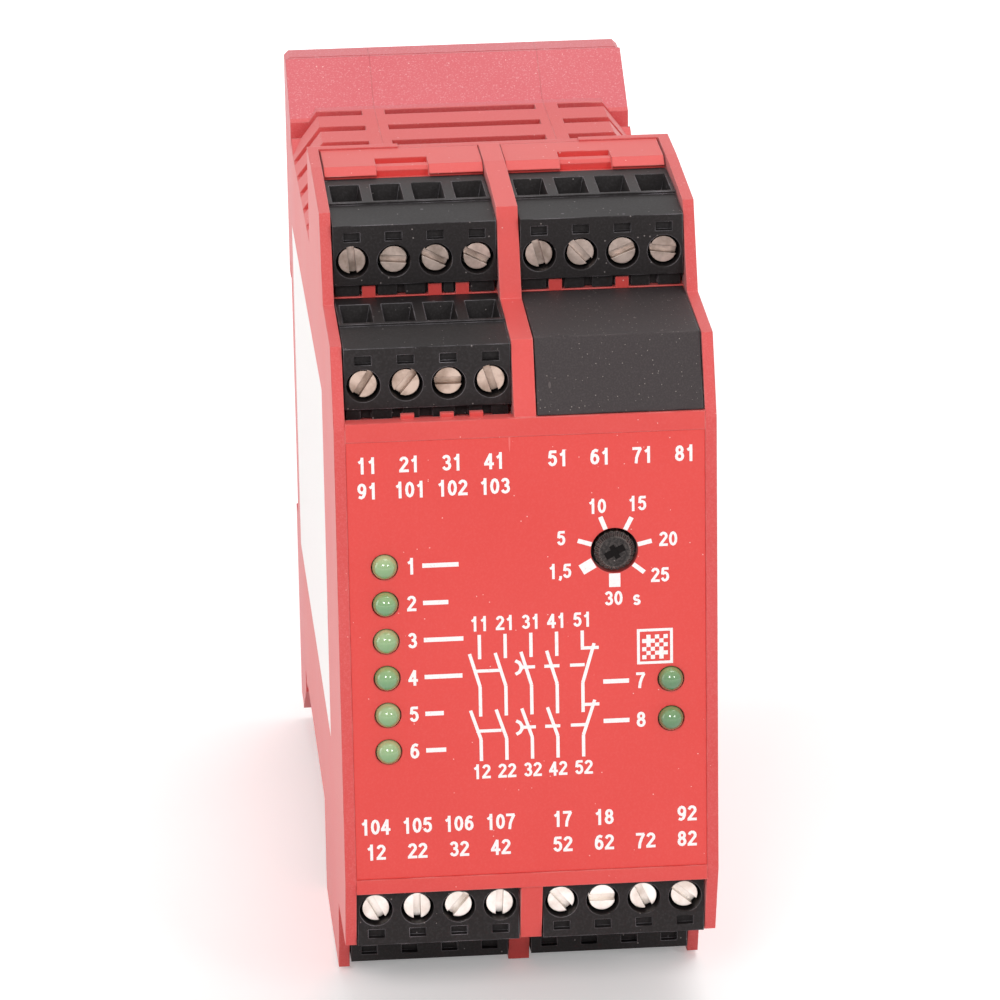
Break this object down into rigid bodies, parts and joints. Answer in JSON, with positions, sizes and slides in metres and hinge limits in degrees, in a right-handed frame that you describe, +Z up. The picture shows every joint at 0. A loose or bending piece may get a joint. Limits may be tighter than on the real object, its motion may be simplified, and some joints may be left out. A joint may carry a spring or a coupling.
{
  "type": "safety relay",
  "caption": "Rail-mounted safety relay: stepped red housing with black plug-in screw terminals, status lights and a timing dial.",
  "frame": {"origin": "centre of the bounding box at the resting plane", "axes": "+Z up, front faces -Y, +X to the right seen from the front"},
  "size_m": [0.045, 0.1156, 0.099],
  "materials": {
    "red_housing": "fine matt moulded texture",
    "front_red": "smooth printed sheet",
    "black_plug": "satin moulded",
    "dark_cover": "fine matt moulded texture",
    "white_label": "blank film",
    "nickel_screw": "nickel plated",
    "clamp_metal": "tin plated",
    "header_base": "moulded base with plated pins",
    "green_light": "clear green dome",
    "dial_knob": "fluted knob",
    "board_green": "lacquered printed board",
    "spring_steel": "spring wire",
    "core_steel": "laminated core",
    "relay_case": "closed relay case",
    "can_sleeve": "sleeved can"
  },
  "bodies": {
    "housing": {"blank_cover": "dark_cover", "bottom_front_left_header": "header_base", "bottom_front_right_header": "header_base", "bottom_left_hood": "red_housing", "bottom_rear_left_header": "header_base", "bottom_rear_right_header": "header_base", "bottom_right_hood": "red_housing", "centre_shell": "red_housing", "display_board": "board_green", "front_frame": "red_housing", "front_panel": "front_red", "latch_spring": "spring_steel", "left_board": "board_green", "left_shell": "red_housing", "mains_transformer": "core_steel", "right_board": "board_green", "right_shell": "red_housing", "safety_contact_relay_1": "relay_case", "safety_contact_relay_2": "relay_case", "side_label": "white_label", "smoothing_capacitor_1": "can_sleeve", "smoothing_capacitor_2": "can_sleeve", "status_light_1": "green_light", "status_light_2": "green_light", "status_light_3": "green_light", "status_light_4": "green_light", "status_light_5": "green_light", "status_light_6": "green_light", "status_light_7": "green_light", "status_light_8": "green_light", "time_setting_resistor": "dial_knob", "top_front_left_header": "header_base", "top_left_hood": "red_housing", "top_rear_left_header": "header_base", "top_rear_right_header": "header_base", "top_right_hood": "red_housing"},
    "top_rear_left_terminal": {"top_rear_left_plug": "black_plug", "top_rear_left_screws": "nickel_screw", "top_rear_left_clamps": "clamp_metal"},
    "top_rear_right_terminal": {"top_rear_right_plug": "black_plug", "top_rear_right_screws": "nickel_screw", "top_rear_right_clamps": "clamp_metal"},
    "top_front_left_terminal": {"top_front_left_plug": "black_plug", "top_front_left_screws": "nickel_screw", "top_front_left_clamps": "clamp_metal"},
    "bottom_front_left_terminal": {"bottom_front_left_plug": "black_plug", "bottom_front_left_screws": "nickel_screw", "bottom_front_left_clamps": "clamp_metal"},
    "bottom_front_right_terminal": {"bottom_front_right_plug": "black_plug", "bottom_front_right_screws": "nickel_screw", "bottom_front_right_clamps": "clamp_metal"},
    "bottom_rear_left_terminal": {"bottom_rear_left_plug": "black_plug", "bottom_rear_left_screws": "nickel_screw", "bottom_rear_left_clamps": "clamp_metal"},
    "bottom_rear_right_terminal": {"bottom_rear_right_plug": "black_plug", "bottom_rear_right_screws": "nickel_screw", "bottom_rear_right_clamps": "clamp_metal"},
    "dial": {"time_knob": "dial_knob"},
    "foot_latch": {"rail_foot_latch": "red_housing"}
  },
  "joints": [
    {"name": "top_rear_left_pull", "type": "slide", "parent": "housing", "child": "top_rear_left_terminal", "axis": [0, -1, 0], "range_m": [0, 0.019]},
    {"name": "top_rear_right_pull", "type": "slide", "parent": "housing", "child": "top_rear_right_terminal", "axis": [0, -1, 0], "range_m": [0, 0.019]},
    {"name": "top_front_left_pull", "type": "slide", "parent": "housing", "child": "top_front_left_terminal", "axis": [0, -1, 0], "range_m": [0, 0.019]},
    {"name": "bottom_front_left_pull", "type": "slide", "parent": "housing", "child": "bottom_front_left_terminal", "axis": [0, -1, 0], "range_m": [0, 0.019]},
    {"name": "bottom_front_right_pull", "type": "slide", "parent": "housing", "child": "bottom_front_right_terminal", "axis": [0, -1, 0], "range_m": [0, 0.019]},
    {"name": "bottom_rear_left_pull", "type": "slide", "parent": "housing", "child": "bottom_rear_left_terminal", "axis": [0, -1, 0], "range_m": [0, 0.019]},
    {"name": "bottom_rear_right_pull", "type": "slide", "parent": "housing", "child": "bottom_rear_right_terminal", "axis": [0, -1, 0], "range_m": [0, 0.019]},
    {"name": "dial_turn", "type": "hinge", "parent": "housing", "child": "dial", "pos_m": [0.0103, -0.05665, 0.0619], "axis": [0, 1, 0], "range_deg": [0, 300]},
    {"name": "foot_latch_slide", "type": "slide", "parent": "housing", "child": "foot_latch", "axis": [0, 0, -1], "range_m": [0, 0.0035], "stiffness_N_per_m": 400, "springref_m": -0.003, "deforming": ["latch_spring"]}
  ]
}
